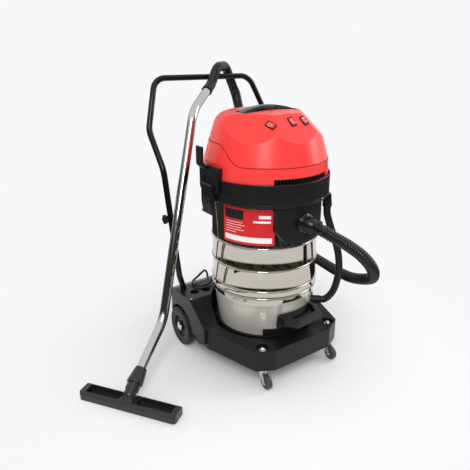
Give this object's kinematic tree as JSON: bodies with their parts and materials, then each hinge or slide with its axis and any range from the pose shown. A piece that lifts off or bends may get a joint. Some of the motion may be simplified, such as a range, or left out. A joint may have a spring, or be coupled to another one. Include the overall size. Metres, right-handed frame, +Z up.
{
  "type": "shop vacuum",
  "caption": "Wet and dry shop vacuum with a steel tank on a wheeled trolley, a latched motor head, a push handle, a hose with a wand and floor nozzle, and a drain hose.",
  "frame": {"origin": "on the floor, under the tank's upright axis", "axes": "+Z up, -Y towards the front with the suction inlet, +X to the machine's right as seen from the front, metres"},
  "size_m": [1.1946, 1.0312, 1.1925],
  "materials": {
    "black_plastic": "satin",
    "trolley_plastic": "semi-matte moulded",
    "tank_steel": "mirror polished stainless",
    "wand_chrome": "chromed",
    "black_tube": "gloss powder coat",
    "red_plastic": "satin",
    "switch_red": "translucent gloss",
    "hose_black": "satin ribbed",
    "cable_rubber": "matte",
    "seal_rubber": "matte",
    "zinc": "zinc plated",
    "cap_chrome": "polished",
    "tyre_black": "matte",
    "hub_plastic": "matte",
    "castor_tread": "satin grey",
    "motor_metal": "cast",
    "matte_black": "matte",
    "grip_plastic": "fine grained",
    "filter_cloth": "felt",
    "float_plastic": "matte"
  },
  "bodies": {
    "chassis": {"trolley": "trolley_plastic", "deck_bolts": "zinc", "tank": "tank_steel", "tank_foot_ring": "trolley_plastic", "tipping_handle": "trolley_plastic", "collar": "black_plastic", "inlet_housing": "black_plastic", "inlet_elbow": "black_plastic", "hose_cuff": "black_plastic", "suction_hose": "hose_black", "wand_grip": "grip_plastic", "wand_upper": "wand_chrome", "wand_lower": "wand_chrome", "nozzle_body": "black_plastic", "nozzle_strips": "seal_rubber", "drain_outlet": "black_plastic", "drain_hose": "hose_black", "drain_cap": "black_plastic", "drain_clip": "black_plastic", "handle_tubes": "black_tube", "push_handle": "black_tube", "rear_axle": "zinc", "axle_caps": "cap_chrome", "castor_mounts": "zinc", "head_gasket": "seal_rubber"},
    "head": {"head_base": "red_plastic", "head_hood": "red_plastic", "vent_grille": "matte_black", "carry_handle": "grip_plastic", "switch_bezels": "matte_black", "cable_hooks": "black_plastic", "latch_brackets": "black_plastic", "motor_plate": "matte_black", "motors": "motor_metal", "filter_cage": "matte_black", "filter": "filter_cloth", "cable_gland": "cable_rubber", "power_cable": "cable_rubber", "cable_coil": "cable_rubber", "power_plug": "cable_rubber"},
    "latch_left": {"latch_left": "black_plastic"},
    "latch_right": {"latch_right": "black_plastic"},
    "rocker_left": {"rocker_left": "switch_red"},
    "rocker_middle": {"rocker_middle": "switch_red"},
    "rocker_right": {"rocker_right": "switch_red"},
    "float_ball": {"float_ball": "float_plastic"},
    "knob_left": {"knob_left": "black_plastic"},
    "knob_right": {"knob_right": "black_plastic"},
    "nozzle_nut": {"nozzle_nut": "black_plastic"},
    "rear_wheel_left": {"wheel_left": "hub_plastic", "tyre_left": "tyre_black"},
    "rear_wheel_right": {"wheel_right": "hub_plastic", "tyre_right": "tyre_black"},
    "castor_left": {"castor_fork_left": "zinc", "castor_pin_left": "zinc"},
    "castor_right": {"castor_fork_right": "zinc", "castor_pin_right": "zinc"},
    "castor_wheel_left": {"castor_wheel_left": "castor_tread"},
    "castor_wheel_right": {"castor_wheel_right": "castor_tread"}
  },
  "joints": [
    {"name": "head_lift", "type": "slide", "parent": "chassis", "child": "head", "axis": [0, 0, 1], "range_m": [0, 0.12]},
    {"name": "latch_left_hinge", "type": "hinge", "parent": "head", "child": "latch_left", "pos_m": [-0.2659, 0, 0.775], "axis": [0, 1, 0], "range_deg": [0, 85]},
    {"name": "latch_right_hinge", "type": "hinge", "parent": "head", "child": "latch_right", "pos_m": [0.2659, 0, 0.775], "axis": [0, -1, 0], "range_deg": [0, 85]},
    {"name": "rocker_left_tilt", "type": "hinge", "parent": "head", "child": "rocker_left", "pos_m": [-0.08573, -0.1402, 0.99113], "axis": [0.7858, -0.0013, 0.6185], "range_deg": [0, 18]},
    {"name": "rocker_middle_tilt", "type": "hinge", "parent": "head", "child": "rocker_middle", "pos_m": [0, -0.14717, 0.99783], "axis": [0.9962, 0.0616, 0.0616], "range_deg": [0, 18]},
    {"name": "rocker_right_tilt", "type": "hinge", "parent": "head", "child": "rocker_right", "pos_m": [0.057, -0.14717, 0.99783], "axis": [0.9848, 0.1228, 0.1228], "range_deg": [0, 18]},
    {"name": "float_rise", "type": "slide", "parent": "head", "child": "float_ball", "axis": [0, 0, 1], "range_m": [0, 0.055]},
    {"name": "knob_left_turn", "type": "hinge", "parent": "chassis", "child": "knob_left", "pos_m": [-0.31, 0.26939, 0.572], "axis": [1, 0, 0], "continuous": true},
    {"name": "knob_right_turn", "type": "hinge", "parent": "chassis", "child": "knob_right", "pos_m": [0.31, 0.26939, 0.572], "axis": [1, 0, 0], "continuous": true},
    {"name": "nozzle_nut_turn", "type": "hinge", "parent": "chassis", "child": "nozzle_nut", "pos_m": [-0.5931, -0.01602, 0.08901], "axis": [0.6973, 0.5066, 0.507], "continuous": true},
    {"name": "rear_wheel_left_spin", "type": "hinge", "parent": "chassis", "child": "rear_wheel_left", "pos_m": [-0.287, 0.21, 0.086], "axis": [1, 0, 0], "continuous": true},
    {"name": "rear_wheel_right_spin", "type": "hinge", "parent": "chassis", "child": "rear_wheel_right", "pos_m": [0.287, 0.21, 0.086], "axis": [1, 0, 0], "continuous": true},
    {"name": "castor_left_swivel", "type": "hinge", "parent": "chassis", "child": "castor_left", "pos_m": [-0.17, -0.226, 0.07], "axis": [0, 0, 1], "continuous": true},
    {"name": "castor_wheel_left_spin", "type": "hinge", "parent": "castor_left", "child": "castor_wheel_left", "pos_m": [-0.17, -0.256, 0.029], "axis": [1, 0, 0], "continuous": true},
    {"name": "castor_right_swivel", "type": "hinge", "parent": "chassis", "child": "castor_right", "pos_m": [0.17, -0.226, 0.07], "axis": [0, 0, 1], "continuous": true},
    {"name": "castor_wheel_right_spin", "type": "hinge", "parent": "castor_right", "child": "castor_wheel_right", "pos_m": [0.17, -0.256, 0.029], "axis": [1, 0, 0], "continuous": true}
  ]
}
